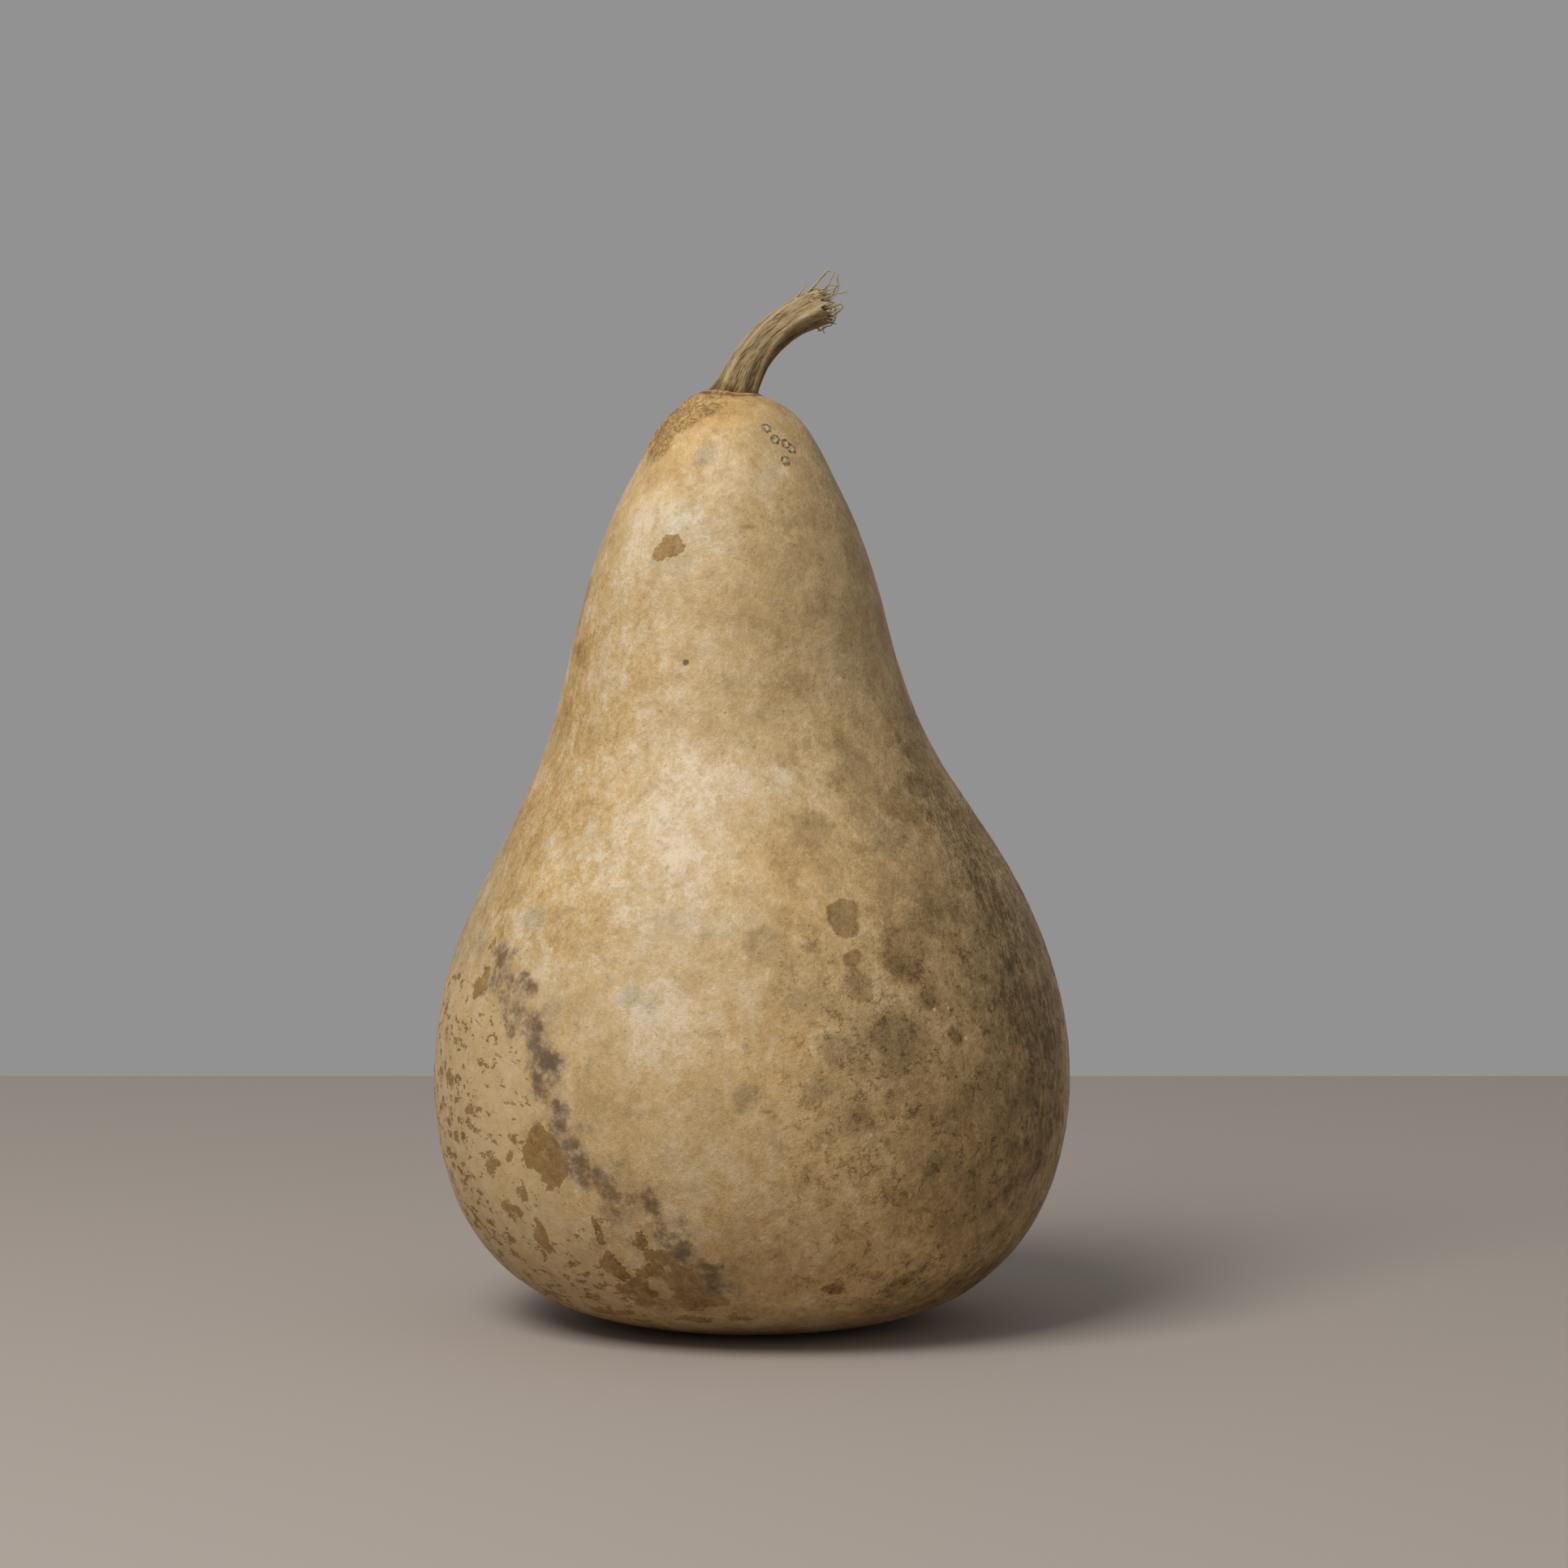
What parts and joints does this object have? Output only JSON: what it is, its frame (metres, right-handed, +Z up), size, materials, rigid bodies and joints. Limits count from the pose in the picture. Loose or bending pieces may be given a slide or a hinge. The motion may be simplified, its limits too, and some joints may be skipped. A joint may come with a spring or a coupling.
{
  "type": "dried hardshell gourd",
  "caption": "Dried pear-shaped hardshell gourd with a mottled tan skin and a dry, ribbed, bent stem torn to fibres at its end, standing on its own base.",
  "frame": {"origin": "middle of the flat spot that the gourd stands on", "axes": "+Z up through the belly, from the base to the neck; the stem bends towards +X"},
  "size_m": [0.1706, 0.168, 0.2808],
  "materials": {
    "gourd_skin": "satin, dry mottled skin",
    "stem_fibre": "matte, dry ribbed fibre"
  },
  "bodies": {
    "root": {"fruit": "gourd_skin", "stem": "stem_fibre"}
  },
  "joints": []
}
